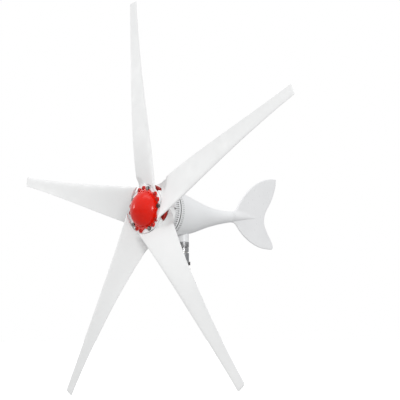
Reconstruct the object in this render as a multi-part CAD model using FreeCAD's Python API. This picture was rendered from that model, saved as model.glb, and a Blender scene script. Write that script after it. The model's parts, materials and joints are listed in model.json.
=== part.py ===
"""Small five-blade wind turbine with a fish-shaped body, on a swivelling pole socket.

Frame: origin at the middle of the pole socket's lower face, on the swivel (yaw) axis, +Z up.
The nose points along -Y and the tail along +Y.  "Aft" distances are counted along +Y from the
plane of the blade tips, and "high" distances along +Z from the rotor's axis.
"""
import FreeCAD, Part
import math
import os

os.makedirs("parts", exist_ok=True)
V = FreeCAD.Vector

# ---------------------------------------------------------------- driving dimensions (mm)
ROTOR_RADIUS = 600.0
BLADE_COUNT = 5
ROTOR_PHASE = -3.8            # degrees, first blade from straight up, at rest
AXIS_HEIGHT = 200.0           # rotor axis above the socket's lower face
YAW_AFT = 158.0               # swivel axis behind the blade tips' plane
ROTOR_Y = -YAW_AFT

PLATE_RADIUS = 66.5           # clamp plate in front of the blade roots
HUB_RADIUS = 70.0             # hub behind them
PLATE_FRONT = 17.0
TAB_FRONT = 21.0
TAB_THICKNESS = 10.0
HUB_FRONT = TAB_FRONT + TAB_THICKNESS
HUB_BACK = 40.0
BOSS_BACK = 47.0
NOSE_TIP = -20.0
DOME_RADIUS = 50.0            # nose dome where it meets its flange
FLANGE_RADIUS = 57.0
NOSE_WALL = 2.5

SHAFT_R = 8.5
THREAD_R = 6.0
BEARING_R = 17.5
BEARING_WIDTH = 10.0
FRONT_BEARING_AFT = 54.0
REAR_BEARING_AFT = 112.0
SHAFT_END = 129.0

DRUM_R = 70.6                 # generator drum, at the joint between cover and body
COVER_FRONT = 50.0
COVER_BACK = 86.5
JOINT = 3.5                   # gasket between cover and body
SHELL_FRONT = COVER_BACK + JOINT
SHELL_BACK = 345.0

STATOR_R = 60.0
STATOR_BORE_R = 47.2
STATOR_FRONT = 72.0
STATOR_BACK = 104.0
TEETH = 18
MAGNET_COUNT = 12
MAGNET_R = 46.0
BACK_IRON_R = 42.0

NECK_R = 16.0
NECK_LOW = -81.0              # neck's lower end, from the rotor axis
NECK_TOP = -20.0
YAW_SHAFT_R = 6.0
YAW_COLLAR_R = 8.0            # shoulder under the lower bearing
YAW_LEAD_R = 3.5              # hole for the leads
GROMMET_LEAD_R = 3.0
YAW_BEARING_R = 12.0
YAW_BEARING_WIDTH = 6.0
CAP_LOW = -95.0
FLANGE_TOP = -97.0
FLANGE_LOW = -108.0
SLEEVE_TOP = -112.0
SLEEVE_R = 16.85              # 33.7 mm pipe
SLEEVE_BORE_R = 13.65         # slips over a 26.9 mm pole
SOCKET_DEPTH = 64.0
NUT_ROOM_R = 12.5             # narrower room above the socket, whose shoulder stops the pole
NUT_ROOM_TOP = 82.0

M6_R = 3.0
M6_HOLE_R = 3.2
M6_HEX = 10.0                 # across flats
M6_HEAD = 4.0
M6_NUT = 5.0
BUTTON_R = 5.25               # M6 button head
BUTTON_HEAD = 3.3
BUTTON_SPHERE_R = 6.2
RUNNING = 0.05                # radial play in running fits


# ---------------------------------------------------------------- helpers
def polygon_face(points):
    return Part.Face(Part.makePolygon(points + points[:1]))


def turned_on_rotor(profile):
    """Solid of revolution about the rotor axis from (aft, radius) corners."""
    corners = [V(0, ROTOR_Y + aft, AXIS_HEIGHT + radius) for aft, radius in profile]
    return polygon_face(corners).revolve(V(0, 0, AXIS_HEIGHT), V(0, 1, 0), 360)


def turned_on_yaw(profile):
    """Solid of revolution about the swivel axis from (radius, high) corners."""
    corners = [V(radius, 0, AXIS_HEIGHT + high) for radius, high in profile]
    return polygon_face(corners).revolve(V(0, 0, 0), V(0, 0, 1), 360)


def disc(aft, length, radius, x=0.0, high=0.0):
    """Cylinder along the rotor axis direction."""
    return Part.makeCylinder(radius, length, V(x, ROTOR_Y + aft, AXIS_HEIGHT + high), V(0, 1, 0))


def ring(aft, length, outer, inner):
    return disc(aft, length, outer).cut(disc(aft - 1, length + 2, inner))


def tube(low, height, outer, inner):
    """Tube on the swivel axis."""
    rod = post(low, height, outer)
    return rod.cut(post(low - 1, height + 2, inner))


def post(low, height, radius, x=0.0, y=0.0):
    return Part.makeCylinder(radius, height, V(x, y, AXIS_HEIGHT + low), V(0, 0, 1))


def block(x_size, y_size, z_size, x, y, z):
    """Box by its middle in X and its low corner in Y and Z."""
    return Part.makeBox(x_size, y_size, z_size, V(x - x_size / 2, y, z))


def spun(shape, degrees):
    """Copy turned about the rotor axis, clockwise as seen from in front."""
    copy = shape.copy()
    copy.rotate(V(0, 0, AXIS_HEIGHT), V(0, 1, 0), degrees)
    return copy


def around_rotor(shape, count, first=0.0):
    return [spun(shape, first + 360.0 * index / count) for index in range(count)]


def hexagon(aft, length, across_flats):
    """Hexagonal prism on the rotor axis, for bolt heads and nuts."""
    corner = across_flats / 2 / math.cos(math.radians(30))
    corners = []
    for index in range(6):
        angle = math.radians(60 * index)
        corners.append(V(corner * math.cos(angle), ROTOR_Y + aft, AXIS_HEIGHT + corner * math.sin(angle)))
    return polygon_face(corners).extrude(V(0, length, 0))


def out_to(shape, radius, degrees):
    """Move a piece from the rotor axis out to a radius and angle."""
    copy = shape.copy()
    copy.translate(V(0, 0, radius))
    return spun(copy, degrees)


def group(shapes):
    return Part.makeCompound(shapes)


def save(name, shape):
    shape.exportStep("parts/" + name + ".step")


# ---------------------------------------------------------------- blades
INNER_STATION = 34.0
STATIONS = [INNER_STATION, 80, 130, 190, 260, 340, 430, 520, ROTOR_RADIUS]
CHORD_STEPS = [0.0, 0.012, 0.05, 0.12, 0.25, 0.42, 0.62, 0.82, 1.0]


def span_left(radius):
    """1 at a tenth of the rotor's radius, 0 at the tip."""
    return (ROTOR_RADIUS - radius) / (0.9 * ROTOR_RADIUS)


def half_chord(radius):
    return ROTOR_RADIUS * (0.0246 + 0.0689 * span_left(radius) ** 1.467)


def pitch(radius):
    return math.radians(1.0 + 15.2 * min(span_left(radius), 1.0) ** 3.94)


def mid_aft(radius):
    return ROTOR_RADIUS * 0.0415 * span_left(radius) ** 2.238


def thickest(radius):
    return 3.2 + 7.3 * span_left(radius) ** 1.3


def blade_section(radius):
    """Closed thin aerofoil, leading edge towards +X and the wind."""
    chord = 2 * half_chord(radius)
    angle = pitch(radius)
    camber = 0.03 * chord
    edge_thickness = 1.2
    upper = []
    lower = []
    for step in CHORD_STEPS:
        shape = 0.2969 * math.sqrt(step) - 0.126 * step - 0.3516 * step ** 2
        shape += 0.2843 * step ** 3 - 0.1036 * step ** 4
        half = 5 * thickest(radius) * shape + edge_thickness / 2 * step
        bow = camber * 4 * step * (1 - step)
        along = chord * (0.5 - step)
        for side, points in ((1, upper), (-1, lower)):
            lift = bow + side * half
            x = along * math.cos(angle) + lift * math.sin(angle)
            aft = mid_aft(radius) - along * math.sin(angle) + lift * math.cos(angle)
            points.append(V(x, ROTOR_Y + aft, AXIS_HEIGHT + radius))
    back = Part.BSplineCurve()
    back.interpolate(upper)
    front = Part.BSplineCurve()
    front.interpolate(lower)
    edge = Part.LineSegment(upper[-1], lower[-1])
    return Part.Wire([back.toShape(), edge.toShape(), front.toShape()])


BOLT_CIRCLE_R = 59.0
BOLT_SPREAD = 18.0            # degrees, outer bolts each side of the blade's line
PLATE_BOLTS = [BOLT_SPREAD]   # degrees from each blade's line, bolts whose heads bear on the plate
NOSE_BOLTS = [0.0, -BOLT_SPREAD]      # bolts that pass through the nose's flange
TAB_WIDTH = 50.0
TAB_INNER = 38.0
TAB_OUTER = 86.0
RELIEF_R = 69.0
TIP_CORNER = 5.0


def tip_trim():
    """Keeps the blade's outline with two rounded tip corners."""
    reach = half_chord(ROTOR_RADIUS)
    keep = block(400, 200, ROTOR_RADIUS - TIP_CORNER, 0, ROTOR_Y - 80, AXIS_HEIGHT)
    middle = block(2 * (reach - TIP_CORNER), 200, TIP_CORNER, 0, ROTOR_Y - 80,
                   AXIS_HEIGHT + ROTOR_RADIUS - TIP_CORNER)
    keep = keep.fuse(middle)
    for side in (-1, 1):
        keep = keep.fuse(disc(-80, 200, TIP_CORNER, side * (reach - TIP_CORNER), ROTOR_RADIUS - TIP_CORNER))
    return keep


def blade():
    wing = Part.makeLoft([blade_section(radius) for radius in STATIONS], True, False)
    wing = wing.cut(disc(-60, 60 + HUB_FRONT, RELIEF_R)).cut(disc(HUB_FRONT, 60, HUB_RADIUS + 1.5))
    tab = block(TAB_WIDTH, TAB_THICKNESS, TAB_OUTER - TAB_INNER, 0, ROTOR_Y + TAB_FRONT,
                AXIS_HEIGHT + TAB_INNER)
    whole = wing.fuse(tab).common(tip_trim())
    for degrees in PLATE_BOLTS + NOSE_BOLTS:
        whole = whole.cut(out_to(disc(0, 60, M6_HOLE_R), BOLT_CIRCLE_R, degrees))
    return whole


# ---------------------------------------------------------------- hub and nose
def blade_lines():
    return [ROTOR_PHASE + 360.0 * index / BLADE_COUNT for index in range(BLADE_COUNT)]


def at_bolts(shape, spreads):
    """Copies of a piece of the rotor axis, out on the bolt circle."""
    return [out_to(shape, BOLT_CIRCLE_R, line + spread) for line in blade_lines() for spread in spreads]


def drill_bolt_circle(shape):
    return shape.cut(group(at_bolts(disc(0, 60, M6_HOLE_R), PLATE_BOLTS + NOSE_BOLTS)))


KEY_SIZE = 5.0
KEY_FRONT = 32.0
KEY_LENGTH = 14.0
RIM_CHAMFER = 0.8


def key_block(play):
    size = KEY_SIZE + 2 * play
    low = AXIS_HEIGHT + SHAFT_R - KEY_SIZE / 2
    return block(size, KEY_LENGTH, KEY_SIZE + play, 0, ROTOR_Y + KEY_FRONT, low)


def hub():
    body = turned_on_rotor([(HUB_FRONT, SHAFT_R), (HUB_FRONT, HUB_RADIUS - RIM_CHAMFER),
                            (HUB_FRONT + RIM_CHAMFER, HUB_RADIUS), (HUB_BACK - RIM_CHAMFER, HUB_RADIUS),
                            (HUB_BACK, HUB_RADIUS - RIM_CHAMFER), (HUB_BACK, 22.0), (BOSS_BACK, 22.0),
                            (BOSS_BACK, SHAFT_R)])
    return drill_bolt_circle(body.cut(key_block(0.05)))


def clamp_plate():
    plate = turned_on_rotor([(PLATE_FRONT, 15.0), (PLATE_FRONT, PLATE_RADIUS - RIM_CHAMFER),
                             (PLATE_FRONT + RIM_CHAMFER, PLATE_RADIUS), (TAB_FRONT, PLATE_RADIUS),
                             (TAB_FRONT, 15.0)])
    return drill_bolt_circle(plate)


LUG_R = 6.6
FLANGE_FRONT = PLATE_FRONT - 3.0
NOTCH_R = 7.4                 # clears a bolt head on the plate
GAP_NOTCH_R = 14.0            # wider notch in the flange between two blades
GAP_NOTCH_AT = 67.0


def nose_dome(radius, tip, back):
    """Pointed dome turned about the rotor axis, from its tip to a flat back."""
    depth = back - tip
    profile = []
    for index in range(13):
        angle = math.radians(90.0 * index / 12)
        profile.append(V(0, ROTOR_Y + back - depth * math.cos(angle) ** 1.15,
                         AXIS_HEIGHT + radius * math.sin(angle) ** 1.25))
    curve = Part.BSplineCurve()
    curve.interpolate(profile)
    centre = V(0, ROTOR_Y + back, AXIS_HEIGHT)
    wire = Part.Wire([curve.toShape(), Part.LineSegment(profile[-1], centre).toShape(),
                      Part.LineSegment(centre, profile[0]).toShape()])
    return Part.Face(wire).revolve(V(0, 0, AXIS_HEIGHT), V(0, 1, 0), 360)


def nose_flange():
    """Scalloped flange round the dome's back: a lobe at each of its bolts, notches between."""
    plate = disc(FLANGE_FRONT, PLATE_FRONT - FLANGE_FRONT, FLANGE_RADIUS)
    for line in blade_lines():
        plate = plate.cut(out_to(disc(-30, 60, GAP_NOTCH_R), GAP_NOTCH_AT, line + 180.0 / BLADE_COUNT))
    for lobe in at_bolts(disc(FLANGE_FRONT, PLATE_FRONT - FLANGE_FRONT, LUG_R), NOSE_BOLTS):
        plate = plate.fuse(lobe)
    for notch in at_bolts(disc(-30, 60, NOTCH_R), PLATE_BOLTS):
        plate = plate.cut(notch)
    return plate


def nose_cone():
    shell = nose_dome(DOME_RADIUS, NOSE_TIP, FLANGE_FRONT)
    shell = shell.fuse(nose_flange())
    shell = shell.cut(nose_dome(DOME_RADIUS - NOSE_WALL, NOSE_TIP + NOSE_WALL, FLANGE_FRONT))
    shell = shell.cut(disc(FLANGE_FRONT - 0.5, 10, DOME_RADIUS - NOSE_WALL))
    return shell.cut(group(at_bolts(disc(-30, 60, M6_HOLE_R), NOSE_BOLTS)))


def plate_bolt():
    """Hexagon-head bolt whose head bears on the clamp plate."""
    head = hexagon(PLATE_FRONT - M6_HEAD, M6_HEAD, M6_HEX)
    return head.fuse(disc(PLATE_FRONT - 1, HUB_BACK + 8 - PLATE_FRONT, M6_R))


def nose_bolt():
    """Round-head screw with a hexagon socket, whose head bears on the nose's flange."""
    middle = ROTOR_Y + FLANGE_FRONT - BUTTON_HEAD + BUTTON_SPHERE_R
    head = Part.makeSphere(BUTTON_SPHERE_R, V(0, middle, AXIS_HEIGHT))
    head = head.common(disc(FLANGE_FRONT - BUTTON_HEAD, BUTTON_HEAD, BUTTON_R))
    head = head.cut(hexagon(FLANGE_FRONT - BUTTON_HEAD - 1, 3.0, 4.0))
    return head.fuse(disc(FLANGE_FRONT - 0.5, HUB_BACK + 7.5 - FLANGE_FRONT, M6_R))


def hub_nuts():
    nut = hexagon(HUB_BACK, M6_NUT, M6_HEX).cut(disc(HUB_BACK - 1, 10, M6_R))
    return group(at_bolts(nut, PLATE_BOLTS + NOSE_BOLTS))


# ---------------------------------------------------------------- rotor shaft and bearings
def rotor_shaft():
    shaft = disc(12.0, HUB_FRONT - 12.0, THREAD_R).fuse(disc(HUB_FRONT, SHAFT_END - HUB_FRONT, SHAFT_R))
    shaft = shaft.cut(ring(124.0, 1.2, SHAFT_R + 1, SHAFT_R - 0.8))
    return shaft.cut(key_block(0.0))


def race_and_balls(bore, outer, width):
    """Inner race, outer race and balls of a bearing on Z, from z = 0 to its width."""
    middle = (bore + outer) / 2
    ball_r = (outer - bore) * 0.29
    ball_count = int(2 * math.pi * middle / (2 * ball_r) * 0.8)
    wall = (outer - bore) * 0.28
    groove = Part.makeTorus(middle, ball_r + RUNNING, V(0, 0, width / 2), V(0, 0, 1))
    inner = Part.makeCylinder(bore + wall, width).cut(Part.makeCylinder(bore, width))
    outer_race = Part.makeCylinder(outer, width).cut(Part.makeCylinder(outer - wall, width))
    balls = []
    for index in range(ball_count):
        angle = 2 * math.pi * index / ball_count
        centre = V(middle * math.cos(angle), middle * math.sin(angle), width / 2)
        balls.append(Part.makeSphere(ball_r, centre))
    return inner.cut(groove), outer_race.cut(groove), group(balls)


def save_bearing(name, bore, outer, width, origin, axis):
    """Write the three nodes of a bearing that starts at origin and runs along axis."""
    turn = FreeCAD.Rotation(V(0, 0, 1), axis)
    for suffix, piece in zip(("inner_race", "outer_race", "balls"), race_and_balls(bore, outer, width)):
        piece.Placement = FreeCAD.Placement(origin, turn)
        save(name + "_" + suffix, piece)


# ---------------------------------------------------------------- generator
SLOT_COUNT = 76
SLOT_WIDTH = 2.9
SLOT_DEPTH = 2.6


def vent_slots(front, length):
    slot = block(SLOT_WIDTH, length, 10.0, 0, ROTOR_Y + front, AXIS_HEIGHT + DRUM_R - SLOT_DEPTH)
    return group(around_rotor(slot, SLOT_COUNT))


COVER_SCREW_R = 66.3
COVER_SCREWS = 6
COVER_SCREW_SEAT = 72.0


def generator_cover():
    body = turned_on_rotor([(COVER_FRONT, 12), (COVER_FRONT, 30), (55, 46), (62, 62), (69, 69.2),
                            (COVER_BACK, DRUM_R), (COVER_BACK, 62.2), (70, 62.2), (62, 52), (57, 34),
                            (57, 22), (66, 22), (66, BEARING_R), (FRONT_BEARING_AFT, BEARING_R),
                            (FRONT_BEARING_AFT, 12)])
    body = body.cut(vent_slots(71.0, 11.0))
    for place in around_rotor(disc(50, COVER_SCREW_SEAT - 50, 3.2, 0, COVER_SCREW_R), COVER_SCREWS, 30):
        body = body.cut(place)
    for place in around_rotor(disc(50, 50, 1.6, 0, COVER_SCREW_R), COVER_SCREWS, 30):
        body = body.cut(place)
    return body


def cover_screws():
    screw = disc(COVER_SCREW_SEAT - 3, 3, 2.75, 0, COVER_SCREW_R)
    screw = screw.fuse(disc(COVER_SCREW_SEAT - 1, 26, 1.5, 0, COVER_SCREW_R))
    screw = screw.cut(disc(COVER_SCREW_SEAT - 4, 2.5, 1.3, 0, COVER_SCREW_R))
    return group(around_rotor(screw, COVER_SCREWS, 30))


def stator_core():
    yoke = ring(STATOR_FRONT, STATOR_BACK - STATOR_FRONT, STATOR_R, STATOR_R - 3.8)
    tooth = block(6.0, STATOR_BACK - STATOR_FRONT, STATOR_R - 2 - STATOR_BORE_R, 0, ROTOR_Y + STATOR_FRONT,
                  AXIS_HEIGHT + STATOR_BORE_R)
    return yoke.fuse(around_rotor(tooth, TEETH)).removeSplitter()


def stator_coils():
    coil = block(13.6, STATOR_BACK - STATOR_FRONT + 6, 6.5, 0, ROTOR_Y + STATOR_FRONT - 3, AXIS_HEIGHT + 49)
    coil = coil.cut(block(6.2, STATOR_BACK - STATOR_FRONT + 0.2, 9.0, 0, ROTOR_Y + STATOR_FRONT - 0.1,
                          AXIS_HEIGHT + 48))
    return group(around_rotor(coil, TEETH))


def magnet_wheel():
    length = STATOR_BACK - STATOR_FRONT
    rim = ring(STATOR_FRONT, length, BACK_IRON_R, 34.0)
    return rim.fuse(ring(84, 8, 34.5, SHAFT_R)).fuse(ring(78, 20, 14.0, SHAFT_R))


def magnets():
    whole = ring(STATOR_FRONT, STATOR_BACK - STATOR_FRONT, MAGNET_R, BACK_IRON_R)
    gap = block(3.0, 40.0, 20.0, 0, ROTOR_Y + STATOR_FRONT - 2, AXIS_HEIGHT + 35)
    return whole.cut(group(around_rotor(gap, MAGNET_COUNT, 15)))


PLATE_SCREW_R = 57.0
PLATE_SCREWS = 4
BEARING_PLATE_AFT = 110.0
BEARING_PLATE_BACK = 116.0


def bearing_plate():
    plate = disc(BEARING_PLATE_AFT, BEARING_PLATE_BACK - BEARING_PLATE_AFT, STATOR_R)
    plate = plate.fuse(disc(BEARING_PLATE_AFT, 14, 22.0))
    plate = plate.cut(disc(100, 30, 12.0)).cut(disc(REAR_BEARING_AFT - 5, 15, BEARING_R))
    for place in around_rotor(disc(100, 30, 2.1, 0, PLATE_SCREW_R), PLATE_SCREWS, 45):
        plate = plate.cut(place)
    window = disc(100, 30, 9.0, 0, 38.0)
    return plate.cut(group(around_rotor(window, 6, 30)))


def plate_screws():
    screw = disc(BEARING_PLATE_AFT - 2.6, 2.6, 2.9, 0, PLATE_SCREW_R)
    screw = screw.fuse(disc(BEARING_PLATE_AFT - 1, 16, 2.0, 0, PLATE_SCREW_R))
    return group(around_rotor(screw, PLATE_SCREWS, 45))


# ---------------------------------------------------------------- body and tail
# aft distance, radius and rise of the middle of round sections down the body
BODY = [(SHELL_FRONT, DRUM_R, 0.0), (120, 64.4, -1.4), (150, 58.1, -3.2), (180, 51.0, -4.3), (210, 42.0, -3.6),
        (240, 33.1, -1.8), (270, 26.1, 0.3), (300, 20.9, 2.9), (330, 17.5, 6.0), (SHELL_BACK, 16.4, 8.0)]
CAVITY = [(BEARING_PLATE_BACK, 54.0, -1.2), (150, 52.0, -3.2), (180, 46.0, -4.3), (210, 37.5, -3.6),
          (240, 28.9, -1.8), (270, 22.1, 0.3), (300, 16.9, 2.9), (330, 13.5, 6.0), (SHELL_BACK, 12.4, 8.0)]
SPIGOT = [(aft, radius - 0.3, rise) for aft, radius, rise in CAVITY[-3:]]


def round_loft(sections):
    wires = []
    for aft, radius, rise in sections:
        circle = Part.makeCircle(radius, V(0, ROTOR_Y + aft, AXIS_HEIGHT + rise), V(0, 1, 0))
        wires.append(Part.Wire([circle]))
    return Part.makeLoft(wires, True, False)


TAIL_SCREW_AFT = (320.0, 334.0)
TAIL_SCREW_RISE = 8.0


def tail_screw_holes(radius):
    holes = []
    for aft in TAIL_SCREW_AFT:
        holes.append(post(-30, 34, radius, 0, ROTOR_Y + aft))
    return group(holes)


def nacelle_shell():
    outer = round_loft(BODY)
    cavity = round_loft(CAVITY).fuse(disc(SHELL_FRONT - 1, BEARING_PLATE_BACK - SHELL_FRONT + 1, STATOR_R))
    neck = post(NECK_LOW, NECK_TOP - NECK_LOW, NECK_R)
    shell = outer.cut(cavity).fuse(neck)
    shell = shell.cut(post(NECK_LOW - 1, NECK_TOP - NECK_LOW + 2, YAW_BEARING_R))
    shell = shell.cut(vent_slots(94.0, 8.0))
    for place in around_rotor(disc(80, 19, 1.5, 0, COVER_SCREW_R), COVER_SCREWS, 30):
        shell = shell.cut(place)
    for place in around_rotor(disc(110, 16, 2.0, 0, PLATE_SCREW_R), PLATE_SCREWS, 45):
        shell = shell.cut(place)
    return shell.cut(tail_screw_holes(2.2))


def smooth(points):
    curve = Part.BSplineCurve()
    curve.interpolate([V(0, ROTOR_Y + aft, AXIS_HEIGHT + high) for aft, high in points])
    return curve.toShape()


FIN_THICKNESS = 5.0
TOP_ROOT = (352.0, 24.0)
LOW_ROOT = (352.0, -8.0)
UPPER_EDGE = [(372, 31), (381, 49), (406, 79), (443, 111), (485, 133), (524, 143), (551, 145)]
UPPER_BACK = [(551, 145), (545, 115), (528, 76), (504, 41), (494, 18)]
LOWER_BACK = [(494, -5), (509, -32), (524, -53), (532, -72)]
LOWER_EDGE = [(532, -72), (527, -78.5), (512, -79.5), (476, -77), (439, -66), (409, -50), (387, -33),
              (371, -16)]


def straight(start, end):
    return Part.LineSegment(V(0, ROTOR_Y + start[0], AXIS_HEIGHT + start[1]),
                            V(0, ROTOR_Y + end[0], AXIS_HEIGHT + end[1])).toShape()


def fin_plate():
    """Fish-tail plate: two lobes with a notch between them."""
    outline = [straight(TOP_ROOT, UPPER_EDGE[0]), smooth(UPPER_EDGE), smooth(UPPER_BACK),
               straight(UPPER_BACK[-1], LOWER_BACK[0]), smooth(LOWER_BACK), smooth(LOWER_EDGE),
               straight(LOWER_EDGE[-1], LOW_ROOT), straight(LOW_ROOT, TOP_ROOT)]
    plate = Part.Face(Part.Wire(outline)).extrude(V(FIN_THICKNESS, 0, 0))
    plate.translate(V(-FIN_THICKNESS / 2, 0, 0))
    return plate


# aft distance, half height, half width and rise of the ridge down the fin
RIDGE = [(SHELL_BACK, 16.4, 16.4, 8.0), (362, 13.0, 12.4, 8.8), (380, 10.2, 9.0, 9.5), (400, 7.6, 6.4, 10.2),
         (420, 5.2, 4.6, 11.2), (440, 3.2, 3.1, 11.8), (456, 2.6, 2.55, 12.0)]


def oval(aft, half_height, half_width, rise):
    centre = V(0, ROTOR_Y + aft, AXIS_HEIGHT + rise)
    longer = V(0, 0, 1)
    major = max(half_height, half_width + 0.001)
    ellipse = Part.Ellipse(centre + longer * major, centre + V(half_width, 0, 0), centre)
    return Part.Wire([ellipse.toShape()])


def tail_fin():
    ridge = Part.makeLoft([oval(*section) for section in RIDGE], True, False)
    spigot = disc(SHELL_BACK - 35, 36, 11.8, 0, TAIL_SCREW_RISE).common(round_loft(SPIGOT))
    return ridge.fuse(fin_plate()).fuse(spigot).cut(tail_screw_holes(1.9))


# ---------------------------------------------------------------- swivel
LOWER_BEARING = -80.5
UPPER_BEARING = -30.0
YAW_SHAFT_LOW = -133.0
SCREW_HEIGHTS = (59.0, 40.0)
SCREW_ANGLES = (50, 170, 290)


def yaw_shaft():
    shaft = turned_on_yaw([(YAW_LEAD_R, YAW_SHAFT_LOW), (YAW_SHAFT_R, YAW_SHAFT_LOW), (YAW_SHAFT_R, FLANGE_LOW),
                           (NECK_R, FLANGE_LOW), (NECK_R, FLANGE_TOP), (YAW_COLLAR_R, FLANGE_TOP),
                           (YAW_COLLAR_R, LOWER_BEARING),
                           (YAW_SHAFT_R, LOWER_BEARING), (YAW_SHAFT_R, 24), (YAW_LEAD_R, 24)])
    return shaft.cut(yaw_circlip())


def yaw_circlip():
    return tube(UPPER_BEARING + YAW_BEARING_WIDTH, 1.0, YAW_SHAFT_R + 2.0, YAW_SHAFT_R - 0.5)


def lead_grommet():
    return turned_on_yaw([(GROMMET_LEAD_R, YAW_SHAFT_LOW - 2), (5.5, YAW_SHAFT_LOW - 2), (5.5, YAW_SHAFT_LOW),
                          (YAW_LEAD_R, YAW_SHAFT_LOW), (YAW_LEAD_R, YAW_SHAFT_LOW + 8),
                          (GROMMET_LEAD_R, YAW_SHAFT_LOW + 8)])


SEAL_R = 10.6                 # hole in the cap that the seal fills, smaller than the bearing above it


def bearing_cap():
    cap = tube(CAP_LOW, NECK_LOW - CAP_LOW, NECK_R + 0.6, SEAL_R)
    cut = block(4.0, 60.0, 8.0, 0, -30.0, AXIS_HEIGHT + CAP_LOW - 1)
    for degrees in (0, 45, 90, 135):
        slot = cut.copy()
        slot.rotate(V(0, 0, 0), V(0, 0, 1), degrees)
        cap = cap.cut(slot.cut(post(CAP_LOW - 2, 12, NECK_R - 1.6)))
    return cap


def pole_sleeve():
    sleeve = turned_on_yaw([(YAW_SHAFT_R, SLEEVE_TOP), (NECK_R + 0.6, SLEEVE_TOP), (NECK_R + 0.6, -131),
                            (SLEEVE_R, -131), (SLEEVE_R, -AXIS_HEIGHT), (SLEEVE_BORE_R, -AXIS_HEIGHT),
                            (SLEEVE_BORE_R, SOCKET_DEPTH - AXIS_HEIGHT), (NUT_ROOM_R, SOCKET_DEPTH - AXIS_HEIGHT),
                            (NUT_ROOM_R, NUT_ROOM_TOP - AXIS_HEIGHT), (YAW_SHAFT_R, NUT_ROOM_TOP - AXIS_HEIGHT)])
    for degrees in SCREW_ANGLES:
        for height in SCREW_HEIGHTS:
            hole = Part.makeCylinder(M6_R, 30, V(0, 0, height), V(1, 0, 0))
            hole.rotate(V(0, 0, 0), V(0, 0, 1), degrees)
            sleeve = sleeve.cut(hole)
    slit = Part.makeBox(2.5, 30, 33, V(-1.25, -30, -1))
    return sleeve.cut(slit)


def sleeve_screws():
    """Socket-head screws that grip the pole through the sleeve's wall."""
    pieces = []
    for degrees in SCREW_ANGLES:
        for height in SCREW_HEIGHTS:
            screw = Part.makeCylinder(M6_R, 5.0, V(SLEEVE_BORE_R + 0.2, 0, height), V(1, 0, 0))
            screw = screw.fuse(Part.makeCylinder(5.0, 3.0, V(SLEEVE_R + 0.4, 0, height), V(1, 0, 0)))
            screw = screw.cut(Part.makeCylinder(2.4, 4, V(SLEEVE_R + 1.4, 0, height), V(1, 0, 0)))
            screw.rotate(V(0, 0, 0), V(0, 0, 1), degrees)
            pieces.append(screw)
    return group(pieces)


CLAMP_LOW = 10.0
CLAMP_HEIGHT = 18.0
CLAMP_BOLT_Y = -26.0


def sleeve_clamp():
    ring_solid = Part.makeCylinder(SLEEVE_R + 4, CLAMP_HEIGHT, V(0, 0, CLAMP_LOW))
    ears = Part.makeBox(14, 17, CLAMP_HEIGHT, V(-7, -32, CLAMP_LOW))
    whole = ring_solid.fuse(ears).cut(Part.makeCylinder(SLEEVE_R, 60, V(0, 0, 0)))
    whole = whole.cut(Part.makeBox(3, 40, 60, V(-1.5, -40, 0)))
    start = V(-30, CLAMP_BOLT_Y, CLAMP_LOW + CLAMP_HEIGHT / 2)
    return whole.cut(Part.makeCylinder(M6_HOLE_R, 60, start, V(1, 0, 0)))


def ear_bolt_piece(x_low, length, radius):
    start = V(x_low, CLAMP_BOLT_Y, CLAMP_LOW + CLAMP_HEIGHT / 2)
    return Part.makeCylinder(radius, length, start, V(1, 0, 0))


def clamp_bolt():
    head = ear_bolt_piece(7, 6, 5.0).cut(ear_bolt_piece(10, 6, 2.5))
    return head.fuse(ear_bolt_piece(-14, 22, M6_R))


def clamp_nut():
    corners = []
    for index in range(6):
        angle = math.radians(60 * index)
        corners.append(V(-12, CLAMP_BOLT_Y + 5.77 * math.cos(angle),
                         CLAMP_LOW + CLAMP_HEIGHT / 2 + 5.77 * math.sin(angle)))
    return polygon_face(corners).extrude(V(M6_NUT, 0, 0)).cut(ear_bolt_piece(-14, 22, M6_R))


def hexagon_on_yaw(low, height, across_flats):
    corner = across_flats / 2 / math.cos(math.radians(30))
    corners = [V(corner * math.cos(math.radians(60 * i)), corner * math.sin(math.radians(60 * i)),
                 AXIS_HEIGHT + low) for i in range(6)]
    return polygon_face(corners).extrude(V(0, 0, height))


# ---------------------------------------------------------------- slip rings
RING_R = 12.5
RING_STEP = 8.0
RING_LOW = -8.0


def slip_rings():
    return group([tube(RING_LOW + RING_STEP * i, 4.0, RING_R, 10.6) for i in range(3)])


def slip_core():
    core = tube(-16, 36, 12.0, YAW_SHAFT_R)
    return core.cut(slip_rings())


def brushes():
    pieces = []
    for index in range(3):
        low = AXIS_HEIGHT + RING_LOW + RING_STEP * index + 0.4
        pieces.append(block(4.0, 9.0, 3.2, 0, RING_R + 0.1, low).cut(post(-20, 60, RING_R + 0.1)))
    return group(pieces)


def brush_holder():
    foot = tube(NECK_TOP, 3.0, NECK_R, YAW_BEARING_R + 1)
    tower = block(12.0, 8.0, 40.0, 0, 14.5, AXIS_HEIGHT + NECK_TOP)
    tower = tower.cut(post(NECK_TOP - 1, 60, 14.2))
    return foot.fuse(tower).cut(brushes())


def terminal_block():
    return block(32.0, 12.0, 14.0, 0, ROTOR_Y + BEARING_PLATE_BACK, AXIS_HEIGHT + 26.0)


def terminal_screws():
    pieces = []
    for x in (-10, 0, 10):
        pieces.append(Part.makeCylinder(2.6, 3, V(x, ROTOR_Y + BEARING_PLATE_BACK + 12, AXIS_HEIGHT + 33),
                                        V(0, 1, 0)))
    return group(pieces)


# ---------------------------------------------------------------- write every piece
one_blade = blade()
for number in range(BLADE_COUNT):
    save("blade_%d" % (number + 1), spun(one_blade, ROTOR_PHASE + 360.0 * number / BLADE_COUNT))

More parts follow.
